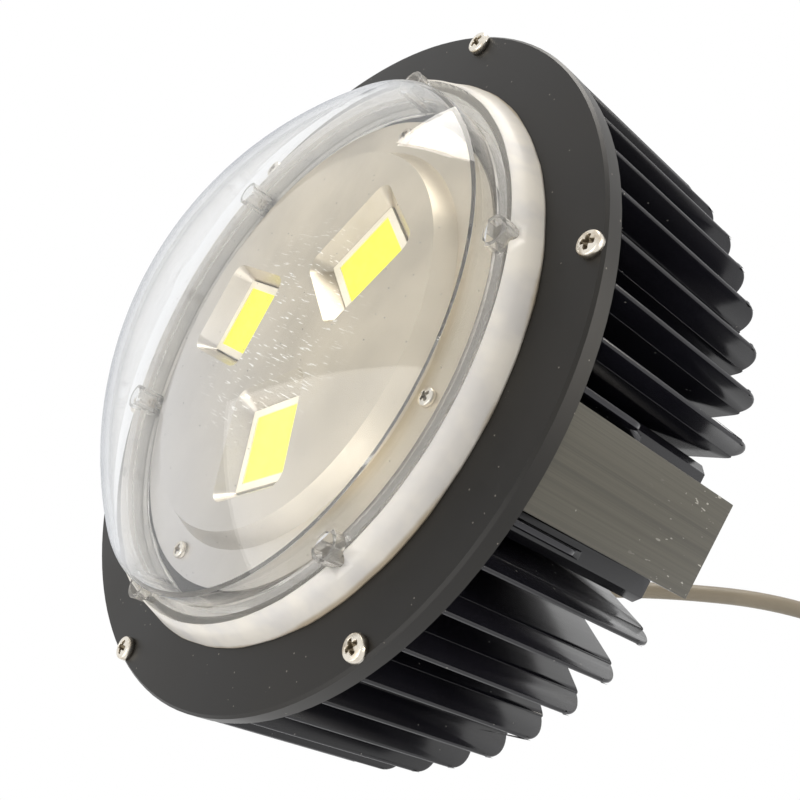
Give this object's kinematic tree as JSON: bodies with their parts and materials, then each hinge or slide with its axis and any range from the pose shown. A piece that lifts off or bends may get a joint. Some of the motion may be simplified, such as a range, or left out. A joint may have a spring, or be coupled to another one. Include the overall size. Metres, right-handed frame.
{
  "type": "high bay light",
  "caption": "Round high bay LED light: finned heat sink, black front plate, pocketed reflector under a clear screwed dome lens, and a rear cable with a connector.",
  "frame": {"origin": "mouth of the threaded hole at the centre of the heat sink's rear face", "axes": "+Z along the optical axis from the rear to the lens; the two side pads face -Y and +Y"},
  "size_m": [0.23, 0.23, 0.4607],
  "materials": {
    "black_anodised": "black anodised, extruded",
    "black_satin": "black anodised, satin",
    "led_metal": "plain",
    "cream_plastic": "satin",
    "phosphor": "smooth silicone",
    "reflector_sheet": "brushed, satin",
    "clear_lens": "clear moulded plastic",
    "white_silicone": "smooth",
    "nickel_screw": "nickel plated",
    "white_plastic": "moulded",
    "black_plastic": "moulded",
    "black_rubber": "smooth",
    "taupe_jacket": "satin",
    "wire_insulation": "smooth"
  },
  "bodies": {
    "root": {"heat_sink": "black_anodised", "base_plate": "black_satin", "led_base_1": "led_metal", "led_base_2": "led_metal", "led_base_3": "led_metal", "led_frame_1": "cream_plastic", "led_frame_2": "cream_plastic", "led_frame_3": "cream_plastic", "led_phosphor_1": "phosphor", "led_phosphor_2": "phosphor", "led_phosphor_3": "phosphor", "reflector": "reflector_sheet", "lens": "clear_lens", "lens_seal": "white_silicone", "shade_screws": "nickel_screw", "lens_screws": "nickel_screw", "reflector_screws": "nickel_screw", "led_screws": "nickel_screw", "plate_screws": "nickel_screw", "reflector_spacers": "white_plastic", "gland_body": "black_plastic", "gland_nut": "black_plastic", "gland_seal": "black_rubber", "cable": "taupe_jacket", "cable_coil": "taupe_jacket", "coil_tie": "white_plastic", "connector_body": "black_plastic", "connector_nut": "black_plastic", "led_wires": "wire_insulation"}
  },
  "joints": []
}
